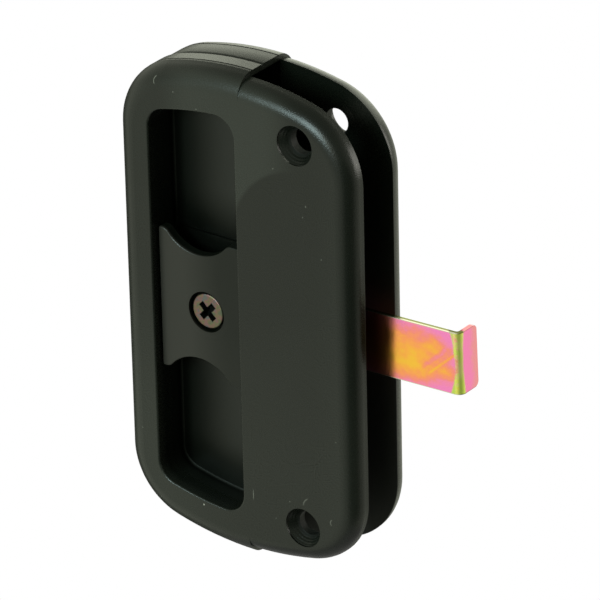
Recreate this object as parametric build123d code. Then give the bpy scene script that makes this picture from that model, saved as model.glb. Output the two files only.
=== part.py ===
"""Latch and pull for a sliding screen door.

Two moulded halves clamp the door's stile between their right-hand plates. Each half has a finger cup
on the left, with a thumb slide in it. One screw joins the two slides and the steel hook strip between
them, so that the hook goes up and down with either slide.

Millimetres. X runs across the face, Y goes from the front face into the door, Z is up. The origin is
midway between the two mounting holes, on the front plate's clamping face.
"""

import os
from math import cos, radians, sin, sqrt

from build123d import *

# Mounting
hole_spacing = 93.7
hole_radius = 2.95
hole_to_edge = 14.8
sink_radius = 4.7
sink_lead = 0.5
sink_depth = 2.8

# Plates and outline
plate_half_width = 31.7
plate_half_height = 57.9
arch_radius = 77.0
corner_radius = 17.5
plate_thickness = 4.8
stile_gap = 11.0
rim_round = 4.3

# Cup part, which stands out past the plates all round, and its skirt that joins the halves
step = 1.2
cup_part_corner = 17.2
cup_part_round = 5.3
rear_corner_extra = 1.3
front_wall = 2.6
skirt_wall = 1.4
inner_round = 1.5
groove_width = 0.4
groove_depth = 0.25
seam_forward = 1.1
seam_round = 0.9
tongue_length = 1.0
tongue_wall = 0.6
tongue_clearance = 0.1

# Finger cup
cup_side_margin = 9.6
cup_end_margin = 9.1
cup_width = 23.6
cup_depth = 9.2
cup_corner = 5.0
cup_wall = 1.5
mouth_round = 0.5
floor_round = 0.5
floor_gap = 0.1

# Thumb slide
slide_inset = 2.1
slide_clearance = 0.4
slide_half_height = 17.25
slide_rise = 0.65
slide_plate = 2.4
scoop_offset = -0.9
scoop_shoulder = 2.0
scoop_depth = 4.35
scoop_round = 2.2
slide_corner = 0.5
slide_edge_round = 0.35
rail_wall = 1.6
rail_half_length = 8.0
rail_clearance = 0.15
boss_radius = 6.3
nose_radius = 4.0
nose_clearance = 0.2

# Travel of the slides and hook, and where they rest
travel = 4.5
rest_height = -1.5

# Hook strip
strip_height = 14.85
strip_drop = 0.75
strip_thickness = 1.1
strip_tail = 7.0
strip_reach = 21.6
flange_depth = 6.6
bend_radius = 0.6
flange_corner = 1.3
tail_corner = 3.0
strip_tilt = 2.0
channel_clearance = 0.35
pad_wall = 0.9

# Screw through the slides
screw_offset = 1.35
shank_radius = 2.0
shank_clearance = 0.2
pilot_clearance = 0.05
head_radius = 4.2
head_height = 2.0
head_sink = 0.5
head_pocket_radius = 4.9
head_edge_round = 0.4
screw_bite = 5.0
pilot_spare = 0.5
cross_length = 4.9
cross_width = 1.25
cross_middle = 1.05
cross_depth = 1.8
cross_taper = 8.0
cross_turn = 47.0

# Working allowances: how far a cut runs past what it cuts, and how near an edge or corner is picked
past = 1.0
near = 0.01

# Places that follow from the sizes above
front_y = -plate_thickness
mid_y = stile_gap / 2
seam_y = mid_y - seam_forward
rear_seam_y = mid_y + seam_forward
plate_x = hole_to_edge - plate_half_width
outer_left = plate_x - plate_half_width - step
cup_left = outer_left + cup_side_margin
cup_x = cup_left + cup_width / 2
split_x = cup_left + cup_width + cup_wall
floor_y = front_y + cup_depth
cup_back = mid_y - floor_gap / 2
strip_front = mid_y - strip_thickness / 2
strip_back = mid_y + strip_thickness / 2
channel_y = strip_front - channel_clearance
pad_y = channel_y - pad_wall
slide_y = front_y + slide_inset
slide_z = rest_height + slide_rise
scoop_half_width = cup_width / 2 - slide_clearance - scoop_shoulder - abs(scoop_offset)
screw_x = cup_x + screw_offset
strip_end = hole_to_edge + strip_reach
tilt_rise = (split_x - screw_x) * sin(radians(strip_tilt))
channel_half = strip_height / 2 + strip_drop + travel + tilt_rise + channel_clearance
pad_half = channel_half + pad_wall
big = 4 * (plate_half_height + plate_half_width)

mirror_plane = Plane.XZ.offset(-mid_y)


def slab(sketch, y_front, y_back):
    """A sketch drawn in X and Z, made solid from y_front to y_back."""
    return extrude(Plane.XZ.offset(-y_back) * sketch, amount=y_back - y_front)


def left_of(x):
    """A wide flat region on the left of x."""
    return Pos(x - big / 2, 0) * Rectangle(big, big)


def right_of(x):
    """A wide flat region on the right of x."""
    return Pos(x + big / 2, 0) * Rectangle(big, big)


def arched(x, half_width, half_height, radius, corner):
    """A rounded rectangle with arched ends. The arches' highest point is over plate_x."""
    drop = radius - half_height
    end_arches = (Pos(plate_x, -drop) * Circle(radius)) & (Pos(plate_x, drop) * Circle(radius))
    shape = (Pos(x, 0) * Rectangle(2 * half_width, 2 * half_height)) & end_arches
    return fillet(shape.vertices(), corner)


def plate_outline(extra):
    """The plates' outline, with extra on its corners' radius."""
    return arched(plate_x, plate_half_width, plate_half_height, arch_radius, corner_radius + extra)


def outline(grow, extra=0):
    """The cup part's outline, grown outwards all round, with extra on its corners' radius."""
    reach = step + grow
    return arched(
        plate_x,
        plate_half_width + reach,
        plate_half_height + reach,
        arch_radius + reach,
        cup_part_corner + extra + grow,
    )


def cup_outline(grow):
    """The finger cup's outline, grown outwards all round."""
    return arched(
        cup_x,
        cup_width / 2 + grow,
        plate_half_height - cup_end_margin + grow,
        arch_radius + grow,
        cup_corner + grow,
    )


def rounded_slab(sketch, y_front, y_back, radius):
    """A slab whose front edge is rounded."""
    block = slab(sketch, y_front, y_back)
    rim = block.edges().filter_by_position(Axis.Y, y_front - near, y_front + near)
    return fillet(rim, radius)


def outer_groove(y_front, y_back, extra=0):
    """A shallow groove round the outside of the cup part."""
    ring = (outline(past, extra) - outline(-groove_depth, extra)) & left_of(split_x)
    return slab(ring, y_front, y_back)


def mounting_hole(z):
    """The countersunk hole for one mounting screw, cut from the front face."""
    bore = slab(Pos(0, z) * Circle(hole_radius), front_y - past, past)
    lead = slab(Pos(0, z) * Circle(sink_radius), front_y - past, front_y + sink_lead)
    cone_height = sink_depth - sink_lead
    cone = Pos(0, front_y + sink_lead + cone_height / 2, z) * Rot(90, 0, 0) * Cone(
        hole_radius, sink_radius, cone_height
    )
    return bore + lead + cone


def inner_void(y_back, extra):
    """The hollow between the cup and the skirt."""
    hollow = (outline(-skirt_wall, extra) & left_of(split_x)) - cup_outline(cup_wall)
    return rounded_slab(hollow, front_y + front_wall, y_back, inner_round)


def strip_channel():
    """The relief that the strip slides in, behind the pad and through the cup's right wall."""
    left = screw_x - strip_tail - channel_clearance
    right = split_x + past
    window = Pos((left + right) / 2, 0) * Rectangle(right - left, 2 * channel_half)
    return slab(window, channel_y, mid_y + past)


def nose_slot():
    """The upright slot that the slide's nose goes through."""
    length = 2 * (travel + nose_radius + nose_clearance)
    slot = SlotOverall(length, 2 * (nose_radius + nose_clearance), rotation=90)
    return slab(Pos(screw_x, 0) * slot, pad_y - past, mid_y + past)


def finger_cup():
    """The space inside the finger cup, rounded where its walls meet the floor."""
    cup = slab(cup_outline(0), front_y - past, floor_y)
    return fillet(cup.edges().filter_by_position(Axis.Y, floor_y - near, floor_y + near), floor_round)


def half_shell(skirt_end, extra=0):
    """The form that both halves share, as the front half. Its skirt ends at skirt_end, and its corners
    have extra on their radius."""
    deepest = max(skirt_end, mid_y)
    plate = rounded_slab(plate_outline(extra), front_y, 0, rim_round)
    plate &= slab(right_of(split_x), front_y - past, past)
    box = rounded_slab(outline(0, extra), front_y, deepest, cup_part_round)
    box &= slab(left_of(split_x), front_y - past, deepest + past)
    box -= inner_void(deepest + past, extra)
    box -= slab(outline(past, extra) - outline(-skirt_wall - past, extra), skirt_end, deepest + past)
    box -= slab(left_of(split_x) & cup_outline(cup_wall), cup_back, deepest + past)
    box -= finger_cup()
    pad = slab(cup_outline(0) & (Pos(cup_x, 0) * Rectangle(big, 2 * pad_half)), pad_y, floor_y)
    box += pad
    box -= strip_channel()
    box -= nose_slot()
    shell = plate + box
    lips = shell.edges().filter_by_position(Axis.Y, front_y - near, front_y + near)
    lips = [e for e in lips if cup_left - near < e.center().X < cup_left + cup_width + near]
    shell = fillet(lips, mouth_round)
    for z in (-hole_spacing / 2, hole_spacing / 2):
        shell -= mounting_hole(z)
    round_end = front_y + cup_part_round
    return shell - outer_groove(round_end, round_end + groove_width, extra)


def front_housing():
    """The front half: a groove along its seam, and a rebate for the rear half's tongue."""
    shell = half_shell(seam_y) - outer_groove(seam_y - groove_width / 2, seam_y + past)
    seat = outline(tongue_wall + tongue_clearance - skirt_wall) & left_of(split_x + past)
    seat -= outline(-skirt_wall - past)
    return shell - slab(seat, seam_y - tongue_length - tongue_clearance, seam_y + past)


def rear_housing():
    """The rear half: a mirror image with rounder corners, its seam rounded, and a tongue inside its skirt."""
    extra = rear_corner_extra
    envelope = slab(outline(0, extra), front_y - past, rear_seam_y)
    seam = envelope.edges().filter_by_position(Axis.Y, rear_seam_y - near, rear_seam_y + near)
    shell = half_shell(rear_seam_y, extra) & fillet(seam, seam_round)
    tongue = outline(tongue_wall - skirt_wall, extra) - outline(-skirt_wall, extra)
    tongue &= left_of(split_x)
    return mirror(shell, about=mirror_plane) + slab(tongue, seam_y - tongue_length, seam_y)


def slide_outline():
    """The slide's face: straight sides, with a finger scoop at the top and at the bottom."""
    half_width = cup_width / 2 - slide_clearance
    radius = (scoop_half_width**2 + scoop_depth**2) / (2 * scoop_depth)
    face = Rectangle(2 * half_width, 2 * slide_half_height)
    for side in (-1, 1):
        face -= Pos(scoop_offset, side * (slide_half_height - scoop_depth + radius)) * Circle(radius)
    corners = face.vertices()
    face = fillet([v for v in corners if abs(v.X) < half_width - near], scoop_round)
    outer = [v for v in face.vertices() if abs(v.X) > half_width - near]
    return fillet([v for v in outer if abs(v.Y) > slide_half_height - near], slide_corner)


def slide_body(nose_end):
    """A slide: the scooped face plate, two rails on the pad, and the boss with its nose."""
    plate = slab(Pos(cup_x, slide_z) * slide_outline(), slide_y, slide_y + slide_plate)
    front = plate.edges().filter_by_position(Axis.Y, slide_y - near, slide_y + near)
    body = fillet(front, slide_edge_round)
    foot_y = pad_y - rail_clearance
    rail_x = cup_width / 2 - slide_clearance - rail_wall / 2
    for side in (-1, 1):
        rail = Pos(cup_x + side * rail_x, slide_z) * Rectangle(rail_wall, 2 * rail_half_length)
        body += slab(rail, slide_y + slide_plate / 2, foot_y)
    axis = Pos(screw_x, rest_height)
    body += slab(axis * Circle(boss_radius), slide_y + slide_plate / 2, foot_y)
    body += slab(axis * Circle(nose_radius), foot_y - past, nose_end)
    return body


def front_slider():
    """The front slide, with a pocket for the screw's head."""
    axis = Pos(screw_x, rest_height)
    seat_y = slide_y + head_sink + head_height
    body = slide_body(strip_front)
    body -= slab(axis * Circle(head_pocket_radius), slide_y - past, seat_y)
    body -= slab(axis * Circle(shank_radius + shank_clearance), seat_y - past, strip_front + past)
    return body


def rear_slider():
    """The rear slide: the mirror image, with a blind pilot bore that the screw bites into."""
    body = mirror(slide_body(strip_front), about=mirror_plane)
    pilot = Pos(screw_x, rest_height) * Circle(shank_radius + pilot_clearance)
    return body - slab(pilot, strip_back - past, strip_back + screw_bite + pilot_spare)


def hook_strip():
    """The steel strip: a tail under the slides, a straight run out past the plates, a bent flange."""
    tail = -strip_tail
    end = strip_end - screw_x
    t = strip_thickness
    section = make_face(
        Polyline(
            (tail, 0),
            (end, 0),
            (end, flange_depth),
            (end - t, flange_depth),
            (end - t, t),
            (tail, t),
            close=True,
        )
    )
    outer = [v for v in section.vertices() if v.X > end - near and v.Y < near]
    section = fillet(outer, bend_radius + t)
    inner = [v for v in section.vertices() if abs(v.X - end + t) < near and abs(v.Y - t) < near]
    section = fillet(inner, bend_radius)
    strip = Pos(0, 0, -strip_height / 2 - strip_drop) * extrude(section, amount=strip_height)
    flange_edges = strip.edges().filter_by(Axis.X).filter_by_position(
        Axis.Y, flange_depth - near, flange_depth + near
    )
    strip = fillet(flange_edges, flange_corner)
    tail_edges = strip.edges().filter_by(Axis.Y).filter_by_position(Axis.X, tail - near, tail + near)
    strip = fillet(tail_edges, tail_corner)
    strip -= slab(Circle(shank_radius + shank_clearance), -past, t + past)
    return Pos(screw_x, strip_front, rest_height) * Rot(0, -strip_tilt, 0) * strip


def slider_screw():
    """The screw: a low head with a cross recess, and a plain shank that stands for its thread."""
    top = slide_y + head_sink
    under = top + head_height
    axis = Pos(screw_x, rest_height)
    head = rounded_slab(axis * Circle(head_radius), top, under, head_edge_round)
    shank = slab(axis * Circle(shank_radius), top + cross_depth, strip_back + screw_bite)
    arm = Rectangle(cross_length, cross_width)
    cross = Rot(0, 0, cross_turn) * (arm + Rot(0, 0, 90) * arm) + Circle(cross_middle)
    recess = extrude(
        Plane.XZ.offset(-top) * axis * cross,
        amount=-cross_depth,
        taper=cross_taper,
    )
    return head + shank - recess


parts = {
    "front_housing": front_housing(),
    "rear_housing": rear_housing(),
    "front_slider": front_slider(),
    "rear_slider": rear_slider(),
    "hook_strip": hook_strip(),
    "slider_screw": slider_screw(),
}

os.makedirs("parts", exist_ok=True)
for name, solid in parts.items():
    solid.label = name
    export_step(solid, f"parts/{name}.step")
    print(name, round(solid.volume, 1), solid.is_valid)
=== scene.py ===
"""Looks of the latch and pull for a sliding screen door.

Metres, in the part's own frame: X across the face towards the hook, Y from the front face into the door,
Z up, with the origin midway between the two mounting holes on the front plate's clamping face. The
materials read places in millimetres of the same frame.
"""

import math

import bpy
from mathutils import Matrix, Vector


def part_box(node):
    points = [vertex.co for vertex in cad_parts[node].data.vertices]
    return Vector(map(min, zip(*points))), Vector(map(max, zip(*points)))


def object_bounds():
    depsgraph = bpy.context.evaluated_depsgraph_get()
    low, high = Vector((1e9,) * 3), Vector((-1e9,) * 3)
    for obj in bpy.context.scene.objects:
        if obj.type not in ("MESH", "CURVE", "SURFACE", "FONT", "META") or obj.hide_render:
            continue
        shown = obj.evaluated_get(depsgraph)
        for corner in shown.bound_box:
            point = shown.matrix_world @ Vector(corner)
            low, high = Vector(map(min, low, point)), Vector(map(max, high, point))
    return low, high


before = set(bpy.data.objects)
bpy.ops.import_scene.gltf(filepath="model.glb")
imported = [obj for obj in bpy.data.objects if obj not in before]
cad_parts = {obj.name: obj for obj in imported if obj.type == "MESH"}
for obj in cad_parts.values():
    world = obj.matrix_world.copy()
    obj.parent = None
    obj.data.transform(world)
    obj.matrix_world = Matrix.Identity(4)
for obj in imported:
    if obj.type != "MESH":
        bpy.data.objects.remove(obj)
cad_bounds = [list(corner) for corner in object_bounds()]

MM = 0.001
white = (1, 1, 1, 1)


def front_of(node):
    """Where a node starts in Y, in millimetres."""
    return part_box(node)[0].y / MM


def back_of(node):
    """Where a node ends in Y, in millimetres."""
    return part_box(node)[1].y / MM


# The camera, fitted to the holes, edges and outline in the photograph. It looks at a point that is
# camera_right and camera_up of the origin's place on the front face, as the camera sees it
camera_azimuth = math.radians(36.879)
camera_elevation = math.radians(26.282)
camera_roll = math.radians(-1.323)
camera_distance = 1.24656
camera_right = 0.314 * MM
camera_up = 8.825 * MM
camera_reach = 10
focal_pixels = 5684.1
photo_pixels = 600
sensor_width = 36.0

# Places in Y, in millimetres, as are all the sizes down to the hairs
front_y = front_of("front_housing")
strip_front_y = front_of("hook_strip")
screw_top_y = front_of("slider_screw")
slide_middle_y = (front_of("front_slider") + back_of("rear_slider")) / 2
slide_reach = (back_of("rear_slider") - front_of("front_slider")) / 2
tongue_length = 1.0
seam_y = front_of("rear_housing") + tongue_length
stile_gap = 11.0
middle_y = stile_gap / 2

# Where the plates' sides start to lean, and how far the rear skirt's crown reaches from its seam
lean_start, crown_reach = -1.2, 4.5

# The screw's place and its cross recess
screw_x, rest_height = -27.05, -1.5
recess_width, recess_length, recess_turn = 1.25, 4.9, math.radians(47)

# The hook strip is turned about the screw, and its middle line lies below it. Its lean ends and its bend
# starts this far from the screw
strip_tilt = math.radians(2.0)
strip_drop = 0.75
strip_half_height = 7.425
strip_lean_end = 49.0
bend_start = 61.8

# The region of the finger cups, how far their floors are from the middle of the part, and how far up and
# down the slide's bed reaches
cup_left, cup_right, cup_half_height = -40.6, -16.2, 50.0
cup_floor = 1.1
slide_room = 21.0

# The mounting holes, with the reach of the rings in their countersinks
hole_height, bore_radius, ring_reach = 46.85, 2.95, 4.9

# Where the skirt ends and the clamping faces start
skirt_end = -13.9

# The arc of a painted reflection, beyond which the face is painted pale: its middle across and up, and its
# radius
arc_x, arc_z, arc_radius = 3.0, 20.0, 20.2

# The plastic's own dark tone, and the paler tones towards which the painted light and faint random clouds run
plastic_dark = (0.0033, 0.0045, 0.0029, 1)
plastic_painted_light = (0.0165, 0.0185, 0.0145, 1)
slide_painted_light = (0.0195, 0.0185, 0.0155, 1)

# Hairs and specks that the face has picked up, in millimetres and degrees: the middle of each one's arc
# across and up, its radius, the angle of its middle, half the angle that it spans, and how pale it is
hairs = (
    (-37.4, 52.9, 1.0, 175, 55, 0.36),
    (2.3, -41.0, 2.0, 148, 32, 0.27),
    (8.4, -43.2, 0.75, 176, 61, 0.27),
    (-23.7, -42.5, 10.0, 0, 2.4, 0.6),
    (-27.8, -49.3, 0.13, 0, 180, 0.9),
    (-32.8, 51.5, 0.05, 0, 180, 0.45),
    (2.7, 33.1, 0.08, 0, 180, 0.5),
    (1.8, 30.3, 0.05, 0, 180, 0.4),
)
# How far back from the front they show
hair_depth = 1.5

# The studio as the part reflects it: each patch is an azimuth and elevation, the degrees from there to
# where it starts to fade and where it ends, and its brightness
studio_level = 0.7
studio_tint = (0.96, 1.0, 0.82, 1)
studio_patches = (
    (-100, 50, 15, 60, 0.95),
    (20, 85, 20, 60, 0.4),
    (-50, -28, 22, 50, 0.97),
    (-122, -36, 22, 44, 0.1),
    (-147, -29, 7, 15, 0.4),
    (45, 42, 18, 42, 0.35),
    (52, -18, 20, 42, 0.08),
    (-158, 12, 14, 28, 2.3),
    (171, 30, 13, 28, 3.4),
    (-148, 52, 12, 22, 0.45),
    (150, -20, 20, 45, 1.0),
    (10, 19, 7, 15, 2.4),
)
lamp_distance = 1.0

# The floor, in metres, and its tone as shiny surfaces see it
floor_half, floor_drop = 0.16, 0.2
floor_tone = (0.9, 0.9, 0.9, 1)
floor_reflected = (0.42, 0.42, 0.4, 1)


class Value:
    """A number that varies over a surface. Arithmetic on it adds Math nodes."""

    def __init__(self, nodes, socket):
        self.nodes = nodes
        self.socket = socket

    def _math(self, operation, *terms):
        return self.nodes.node("ShaderNodeMath", {"operation": operation}, dict(enumerate(terms)))

    def __add__(self, other):
        return self._math("ADD", self, other)

    def __radd__(self, other):
        return self._math("ADD", other, self)

    def __sub__(self, other):
        return self._math("SUBTRACT", self, other)

    def __rsub__(self, other):
        return self._math("SUBTRACT", other, self)

    def __mul__(self, other):
        return self._math("MULTIPLY", self, other)

    def __rmul__(self, other):
        return self._math("MULTIPLY", other, self)

    def __truediv__(self, other):
        return self._math("DIVIDE", self, other)

    def __rtruediv__(self, other):
        return self._math("DIVIDE", other, self)

    def __lt__(self, other):
        return self._math("LESS_THAN", self, other)

    def __gt__(self, other):
        return self._math("GREATER_THAN", self, other)

    def size(self):
        """The number without its sign."""
        return self._math("ABSOLUTE", self)

    def root(self):
        return self._math("SQRT", self)

    def sine(self):
        return self._math("SINE", self)

    def least(self, other):
        return self._math("MINIMUM", self, other)

    def most(self, other):
        return self._math("MAXIMUM", self, other)

    def fade(self, start, end):
        """0 up to start, 1 from end, and smooth between them."""
        inputs = {"Value": self, "From Min": start, "From Max": end}
        return self.nodes.node("ShaderNodeMapRange", {"interpolation_type": "SMOOTHSTEP"}, inputs)


def span(*offsets):
    """How far a place is from another, by its offsets."""
    return sum(offset * offset for offset in offsets).root()


class Nodes:
    """The nodes of a material or of the world, added one at a time."""

    def __init__(self, owner):
        owner.use_nodes = True
        self.owner = owner
        self.tree = owner.node_tree
        self.tree.nodes.clear()

    def node(self, kind, settings=None, inputs=None, output=0):
        """Adds a node of this kind, with its settings first, and returns one of its outputs."""
        node = self.tree.nodes.new(kind)
        for key, value in (settings or {}).items():
            setattr(node, key, value)
        for key, value in (inputs or {}).items():
            if isinstance(value, Value):
                self.tree.links.new(value.socket, node.inputs[key])
            else:
                node.inputs[key].default_value = value
        return Value(self, node.outputs[output]) if node.outputs else None

    def outputs(self, kind, names, inputs=None):
        """Adds a node of this kind and returns the outputs that are named."""
        sockets = self.node(kind, None, inputs).socket.node.outputs
        return [Value(self, sockets[name]) for name in names]

    def rays(self, *kinds):
        """1 for the kinds of ray that are named, and 0 for the others."""
        seen, *others = self.outputs("ShaderNodeLightPath", kinds)
        for other in others:
            seen = seen.most(other)
        return seen


class Finish(Nodes):
    """A material that follows Object coordinates."""

    def __init__(self, name):
        super().__init__(bpy.data.materials.new(name))
        self.place = self.node("ShaderNodeTexCoord", output="Object")

    def axes(self):
        """The place's X, Y and Z, in millimetres."""
        return [axis / MM for axis in self.outputs("ShaderNodeSeparateXYZ", "XYZ", {"Vector": self.place})]

    def noise(self, scale, detail=2.0, roughness=0.5, place=None):
        """Noise from 0 to 1 whose patches are about 1/scale metres wide."""
        inputs = {"Vector": place or self.place, "Scale": scale, "Detail": detail, "Roughness": roughness}
        return self.node("ShaderNodeTexNoise", None, inputs)

    def streaks(self, scales, turn=0.0):
        """Noise with a scale of its own for each axis, turned about Y."""
        inputs = {"Vector": self.place, "Rotation": (0, turn, 0), "Scale": scales}
        return self.noise(1.0, place=self.node("ShaderNodeMapping", {"vector_type": "POINT"}, inputs))

    def mix(self, factor, first, second):
        """A colour from first to second. The node's sockets for colours come after those for numbers and
        vectors, so they go by their places in the list."""
        settings = {"data_type": "RGBA", "blend_type": "MIX"}
        return self.node("ShaderNodeMix", settings, {0: factor, 6: first, 7: second}, 2)

    def ramp(self, factor, stops):
        """A colour that follows factor through the stops, each a position and a colour."""
        ramp = self.node("ShaderNodeValToRGB", None, {"Fac": factor})
        elements = ramp.socket.node.color_ramp.elements
        elements[0].position, elements[0].color = stops[0]
        elements[1].position, elements[1].color = stops[-1]
        for position, tone in stops[1:-1]:
            elements.new(position).color = tone
        return ramp

    def bump(self, height, distance, normal=None):
        """A Normal that follows a height, where distance is how high a height of 1 stands. It adds to the
        normal that it is given."""
        inputs = {"Height": height, "Distance": distance, "Strength": 1.0}
        if normal is not None:
            inputs["Normal"] = normal
        return self.node("ShaderNodeBump", None, inputs)

    def surface(self, inputs):
        """Ends the material in one Principled shader and returns the material."""
        shader = self.node("ShaderNodeBsdfPrincipled", None, inputs)
        self.node("ShaderNodeOutputMaterial", None, {"Surface": shader})
        return self.owner


def colour(red, green, blue):
    """A colour given as it looks on a screen, from 0 to 255."""
    def linear(level):
        level /= 255
        return level / 12.92 if level <= 0.04045 else ((level + 0.055) / 1.055) ** 2.4

    return (linear(red), linear(green), linear(blue), 1.0)


def dust_specks(finish):
    """How pale the specks of dust are, and 0 beside them."""
    inputs = {"Vector": finish.place, "Scale": 190.0}
    from_speck = finish.node("ShaderNodeTexVoronoi", {"feature": "F1"}, inputs)
    return (1 - from_speck.fade(0.012, 0.024)) * 0.75


def hair_marks(x, y, z):
    """How pale the hairs and specks on the front face are, and 0 beside them."""
    marks = 0
    for middle_x, middle_z, radius, angle, half, paleness in hairs:
        across, up = x - middle_x, z - middle_z
        line = 1 - (span(across, up) - radius).size().fade(0.05, 0.15)
        ahead = across * math.cos(math.radians(angle)) + up * math.sin(math.radians(angle))
        marks = marks + line * (ahead > radius * math.cos(math.radians(half))) * paleness
    return marks * (y < front_y + hair_depth)


def moulded_shape(finish, y, from_hole):
    """The plates' sides lean forward a little, the rear skirt is crowned at its seam, and the countersinks
    have faint rings."""
    lean = (y - lean_start).most(0) * (y < 0)
    crown = (1 - (y - seam_y) / crown_reach).most(0) * (y > seam_y)
    rings = (from_hole * 14).sine() * (from_hole < ring_reach)
    return finish.bump(lean * lean * 0.1 - crown * crown * 0.36 + rings * 0.012, MM)


def cup_painted_shade(x, y, z):
    """Painted shade deep in the cups keeps the shine back, most at the left, over the slide and at the lower
    end."""
    shine = 1 - x.fade(-23.5, -34.5) * 0.42
    shine = shine * (1 - x.fade(-37, -39) * 0.5)
    shine = shine * (1 - z.fade(27, 16) * (z > 0) * 0.55)
    shine = shine * (1 - z.fade(-36, -44) * 0.35)
    return (1 - shine) * (y - middle_y).size().fade(3.5, 1.6)


def dulled_parts(x, y, z, from_hole, in_cup):
    """How much rougher the bores, the cups, the edges of their floors and the clamping faces are."""
    bore = from_hole.fade(bore_radius + 0.5, bore_radius + 0.1)
    from_floor = (y - middle_y).size() - cup_floor
    floor_edge = in_cup * from_floor.fade(0.02, 0.08) * from_floor.fade(0.8, 0.6) * (z.size() > slide_room)
    in_gap = y.fade(-0.4, 0.1) * y.fade(stile_gap + 0.4, stile_gap - 0.1)
    clamp_faces = in_gap * (x > skirt_end) * z.fade(45, -25)
    return bore * 0.35 + in_cup * 0.1 + floor_edge * 0.3 + clamp_faces * 0.5


def moulded_plastic(name, roughness, grain_height, shine, light, painted_light_and_scuffs_at):
    """Black moulded plastic: a fine matt grain, faint clouds of tone, specks of dust and a few hairs, with
    painted light on its faces and painted shade deep in the cups.
    """
    finish = Finish(name)
    x, y, z = finish.axes()
    clouds = finish.noise(45, detail=3)
    grain = finish.noise(3800, detail=1)
    waves = finish.noise(60, detail=1)
    # The tone mixes the painted light, and on the slide its scuffs, with faint random clouds of tone
    tone = finish.mix(painted_light_and_scuffs_at(x, y, z) + (clouds - 0.5) * 0.25, plastic_dark, light)
    marks = dust_specks(finish).most(hair_marks(x, y, z))
    from_hole = span(x, z.size() - hole_height)
    in_cup = (x > cup_left) * (x < cup_right) * (z.size() < cup_half_height) * y.fade(0, 3)
    fine = finish.bump(grain, grain_height, moulded_shape(finish, y, from_hole))
    return finish.surface({
        "Base Color": finish.mix(marks, tone, colour(150, 148, 138)),
        # Metallic on the near-black tone takes the shine away there as painted shade
        "Metallic": in_cup * cup_painted_shade(x, y, z),
        "Roughness": grain * 0.1 + (roughness - 0.05) + dulled_parts(x, y, z, from_hole, in_cup),
        "Specular IOR Level": shine,
        "Normal": finish.bump(waves, 0.05 * MM, fine),
    })


def housing_painted_light(x, y, z):
    """Painted light on the face: it is palest at the upper left, outside the arc of a painted reflection that
    passes below the upper hole, and low on the left. The sides and the inside are dark."""
    # The pale region outside the arc is a painted reflection, and the rail and the lower and right parts of
    # the face get painted light
    upper = span(x - arc_x, z - arc_z).fade(arc_radius, arc_radius + 1.1) * (z > 15)
    upper = upper * x.fade(1, -9) * x.fade(-38, -28)
    rail = x.fade(-14, -40)
    face = z.fade(10, -30) * 0.17 + x.fade(2, 13) * 0.14 + upper * 0.85
    face = face + rail * 0.14 + rail * z.fade(15, -40) * 0.3
    return face * y.fade(-1.5, -4.0)


def slide_painted_light_and_scuffs(x, y, z):
    """Painted light and shade on the slide: it is palest along its left edge and low down, and darker towards
    the right. The faint scuffs round the screw are its own wear. Its sides are dark."""
    from_screw = span(x - screw_x, z - rest_height)
    scuffs = (from_screw * 4.5).sine() * from_screw.fade(9, 5) * 0.06
    face = x.fade(-20, -37) * 1.25 + z.fade(10, -18) * 0.2 + scuffs
    on_face = (y - slide_middle_y).size().fade(slide_reach - 0.8, slide_reach - 0.3)
    return face * on_face - 0.1


def tone_on_face(finish, along, across, blotches, mottle):
    """The film on the strip's face, from yellow through orange to pink."""
    def spread(along_middle, across_middle, along_reach, across_reach):
        """0 at a place on the strip, and 1 on an ellipse round it."""
        return span((along - along_middle) / along_reach, (across - across_middle) / across_reach)

    # A large yellow patch, which is flatter below, and two small ones beyond it
    below = spread(50.0, -2.5, 8.2, 4.0)
    above = spread(50.6, -2.6, 9.5, 8.6)
    film = below + (above - below) * across.fade(-3.4, -1.8)
    film = film.least(spread(55.6, 2.6, 3.4, 2.2) * 0.5 + 0.32)
    film = film.least(spread(59.0, -2.6, 3.0, 1.8) * 0.5 + 0.45)
    # A pink scratch runs up to the right, with a yellow one beside it
    slant = across - along * 0.85
    pink_line = 1 - (slant + 48.0).size().fade(0.2, 1.1)
    pink_line = pink_line * along.fade(52.5, 54.0) * along.fade(60.5, 58.5)
    yellow_line = 1 - (slant + 50.6).size().fade(0.1, 0.6)
    yellow_line = yellow_line * along.fade(54.0, 56.0)
    rubbed = finish.streaks((70, 300, 600), math.radians(-32)) - 0.5
    film = film + blotches * 0.62 + rubbed * 0.3 + mottle * 0.42 + pink_line * 0.3 - yellow_line * 0.35
    # The film stays orange where the strip comes out of the housing
    film = film * (1 - along.fade(48.5, 43.5) * 0.35)
    return finish.ramp(film * 0.7, [
        (0.1, colour(252, 193, 72)),
        (0.3, colour(255, 177, 84)),
        (0.5, colour(255, 159, 106)),
        (0.66, colour(251, 144, 142)),
        (0.78, colour(250, 142, 182)),
        (0.95, colour(248, 138, 205)),
    ])


def tone_on_bend(finish, turn, blotches, mottle):
    """The film on the bend: yellowish green on its sides, with patches of yellow, pale green and orange along
    its core."""
    core = finish.ramp(mottle * 1.2 + blotches * 1.2 + 0.5, [
        (0.15, colour(232, 214, 90)),
        (0.4, colour(214, 220, 112)),
        (0.6, colour(240, 190, 150)),
        (0.85, colour(236, 160, 104)),
    ])
    sides = finish.mix((blotches + 0.5).fade(0.3, 0.7), colour(194, 210, 96), colour(208, 204, 130))
    in_core = turn.fade(-0.3, 0.3) * (1 - turn.fade(0.9, 1.7))
    return finish.mix(in_core, sides, core)


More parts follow.
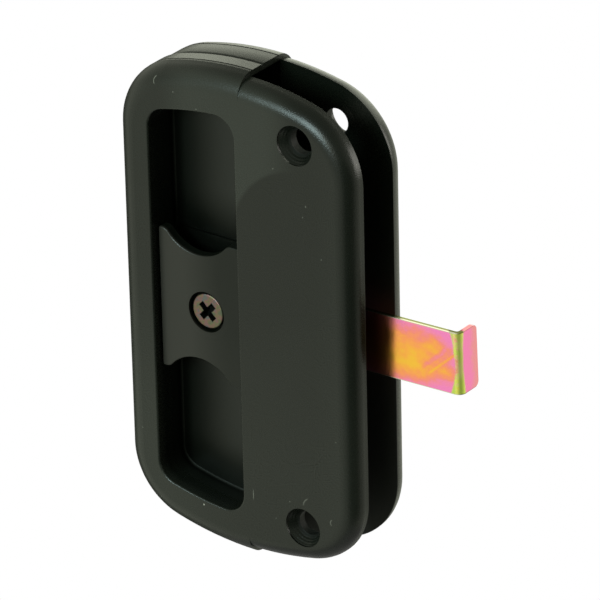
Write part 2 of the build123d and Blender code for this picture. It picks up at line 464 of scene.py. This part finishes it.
def passivated_steel(name):
    """Yellow passivated zinc on steel, under a thin film of many colours. The flange is pink."""
    finish = Finish(name)
    x, y, z = finish.axes()
    right, up = x - screw_x, z - rest_height
    # Along the strip from the screw, up from its middle line, back from its face, and round its bend
    along = right * math.cos(strip_tilt) + up * math.sin(strip_tilt)
    across = up * math.cos(strip_tilt) - right * math.sin(strip_tilt) + strip_drop
    deep = y - strip_front_y
    turn = along - bend_start + deep
    blotches = finish.noise(230, detail=3, roughness=0.55) - 0.5
    mottle = finish.noise(900) - 0.5
    faded = (blotches * 0.8 + mottle * 0.4 + (deep - 3.4) * 0.25).fade(0.0, 0.6)
    flange = finish.mix(faded, colour(245, 131, 190), colour(237, 147, 158))
    tone = finish.mix(turn.fade(2.0, 3.4), tone_on_face(finish, along, across, blotches, mottle), flange)
    rough_edge = blotches * 0.9 - across * across * 0.022
    on_bend = (turn - rough_edge).fade(0, 0.6) * (1 - (turn - 2.5 + rough_edge * 0.4).fade(0, 0.7))
    tone = finish.mix(on_bend, tone, tone_on_bend(finish, turn, blotches, mottle))
    # The cut edge is bright in front, olive behind, and pinkish on the flange
    cut = across.size().fade(strip_half_height - 0.25, strip_half_height - 0.05)
    edge = finish.mix(deep.fade(0.2, 0.6), colour(206, 200, 180), colour(112, 116, 52))
    edge = finish.mix(deep.fade(1.6, 2.3), edge, colour(190, 112, 122))
    scratched = finish.bump(finish.streaks((500, 500, 5000)), 0.003 * MM)
    # The strip leans outwards as it comes out of the housing
    lean = (strip_lean_end - along).most(0)
    leaning = finish.bump(lean * lean * 0.006, MM, scratched)
    return finish.surface({
        "Base Color": finish.mix(cut, tone, edge),
        "Metallic": 1.0,
        "Roughness": blotches * 0.15 + 0.17 + on_bend * 0.42,
        "Normal": finish.bump(finish.noise(300), 0.015 * MM, leaning),
    })


def dull_steel(name):
    """Plated screw steel, dulled to a brownish grey with faint pink and green patches. Its recess is painted
    dark as shade, and so is a lip round it."""
    finish = Finish(name)
    x, y, z = finish.axes()
    depth = y - screw_top_y
    right, up = x - screw_x, z - rest_height
    # How far a place is from the middle line of each arm of the cross
    first_arm = (right * math.cos(recess_turn) + up * math.sin(recess_turn)).size()
    second_arm = (up * math.cos(recess_turn) - right * math.sin(recess_turn)).size()
    tone = finish.ramp(finish.noise(420, detail=3, roughness=0.6), [
        (0.4, colour(88, 93, 78)),
        (0.47, colour(108, 98, 76)),
        (0.54, colour(120, 88, 88)),
        (0.62, colour(92, 96, 94)),
    ])
    scuffs = finish.noise(1500)
    half_width, half_length = recess_width / 2, recess_length / 2
    beside = (first_arm.least(second_arm) - scuffs * 0.3).fade(half_width + 0.08, half_width - 0.04)
    lip_painted_shade = beside * first_arm.most(second_arm).fade(half_length + 0.1, half_length)
    # Painted shade in the recess and on the lip round the cross
    recess_painted_shade = depth.fade(0.02, 0.25).most(lip_painted_shade * depth.fade(0.3, 0.2))
    return finish.surface({
        "Base Color": finish.mix(recess_painted_shade, tone, colour(14, 14, 13)),
        "Metallic": 0.9,
        "Roughness": scuffs * 0.25 + 0.3 + recess_painted_shade * 0.3,
        "Normal": finish.bump(scuffs, 0.01 * MM),
    })


def pale_floor(name):
    """White to the camera and through glass, darker in reflections, and pale to the light."""
    finish = Finish(name)
    seen = finish.rays("Is Camera Ray", "Is Glossy Ray", "Is Transmission Ray")
    tone = finish.mix(finish.rays("Is Glossy Ray"), white, floor_reflected)
    pale = finish.node("ShaderNodeBsdfDiffuse", None, {"Color": floor_tone})
    shown = finish.node("ShaderNodeEmission", None, {"Color": tone, "Strength": 1.0})
    both = finish.node("ShaderNodeMixShader", None, {0: seen, 1: pale, 2: shown})
    finish.node("ShaderNodeOutputMaterial", None, {"Surface": both})
    return finish.owner


def paint(node, material):
    """Gives a CAD node its material."""
    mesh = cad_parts[node].data
    mesh.materials.clear()
    mesh.materials.append(material)


def make_floor():
    """A plain pale floor, well below the part, which is held on its door."""
    height = cad_bounds[0][2] - floor_drop
    bpy.ops.mesh.primitive_plane_add(size=2 * floor_half, location=(0, 0, height))
    floor = bpy.context.object
    floor.name = "floor"
    floor.data.materials.append(pale_floor("pale_floor"))


def toward(azimuth, elevation):
    """The direction at these angles, where azimuth 0 is straight out of the front face and a right angle
    is +X."""
    flat = math.cos(elevation)
    return Vector((math.sin(azimuth) * flat, -math.cos(azimuth) * flat, math.sin(elevation)))


def make_world():
    """White behind the part, and a studio that is brighter in some directions for it to reflect."""
    world = Nodes(bpy.data.worlds.new("studio"))
    bpy.context.scene.world = world.owner
    direction = world.node("ShaderNodeTexCoord", output="Generated")
    level = studio_level
    for *angles, brightness in studio_patches:
        azimuth, elevation, core, edge = map(math.radians, angles)
        inputs = {0: direction, 1: toward(azimuth, elevation)}
        nearness = world.node("ShaderNodeVectorMath", {"operation": "DOT_PRODUCT"}, inputs, "Value")
        mask = nearness.fade(math.cos(edge), math.cos(core))
        level = mask * brightness + (1 - mask) * level
    studio = world.node("ShaderNodeBackground", None, {"Color": studio_tint, "Strength": level})
    plain = world.node("ShaderNodeBackground", None, {"Color": white, "Strength": 1.0})
    seen = world.rays("Is Camera Ray", "Is Transmission Ray")
    both = world.node("ShaderNodeMixShader", None, {0: seen, 1: studio, 2: plain})
    world.node("ShaderNodeOutputWorld", None, {"Surface": both})


def lamp(name, azimuth, elevation, size, radiance, tint):
    """A soft lamp that shines on the part from a direction in degrees, as bright as radiance times white."""
    data = bpy.data.lights.new(name, "AREA")
    data.shape = "RECTANGLE"
    data.size, data.size_y = size
    data.energy = radiance * math.pi * size[0] * size[1]
    data.color = tint
    obj = bpy.data.objects.new(name, data)
    away = toward(math.radians(azimuth), math.radians(elevation))
    obj.location = away * lamp_distance
    obj.rotation_euler = away.to_track_quat("Z", "Y").to_euler()
    bpy.context.scene.collection.objects.link(obj)


def make_lamps():
    """A cool softbox in front, to the camera's left, and a wide warm one at the right."""
    lamp("front", -10, 23, (0.5, 0.4), 13.5, (0.76, 1.0, 1.0))
    lamp("right", 124, 12, (0.6, 0.5), 5.6, (1.0, 0.98, 0.9))


def make_camera():
    """The camera that took the photograph, as fitted."""
    back = toward(camera_azimuth, camera_elevation)
    level = Vector((math.cos(camera_azimuth), math.sin(camera_azimuth), 0))
    upright = back.cross(level)
    right = math.cos(camera_roll) * level + math.sin(camera_roll) * upright
    up = math.cos(camera_roll) * upright - math.sin(camera_roll) * level
    target = right * camera_right + up * camera_up + Vector((0, front_y * MM, 0))
    data = bpy.data.cameras.new("camera")
    data.sensor_width = sensor_width
    data.lens = sensor_width * focal_pixels / photo_pixels
    data.clip_end = camera_reach
    camera = bpy.data.objects.new("camera", data)
    turn = Matrix((right, up, back)).transposed()
    camera.matrix_world = Matrix.Translation(target + back * camera_distance) @ turn.to_4x4()
    bpy.context.scene.collection.objects.link(camera)
    bpy.context.scene.camera = camera


black = moulded_plastic("black_plastic", 0.27, 0.03 * MM, 0.3, plastic_painted_light, housing_painted_light)
slide_black = moulded_plastic("slide_plastic", 0.3, 0.012 * MM, 0.22, slide_painted_light, slide_painted_light_and_scuffs)
paint("front_housing", black)
paint("rear_housing", black)
paint("front_slider", slide_black)
paint("rear_slider", slide_black)
paint("hook_strip", passivated_steel("passivated_steel"))
paint("slider_screw", dull_steel("screw_steel"))

make_floor()
make_world()
make_lamps()
make_camera()
bpy.context.scene.view_settings.view_transform = "Standard"
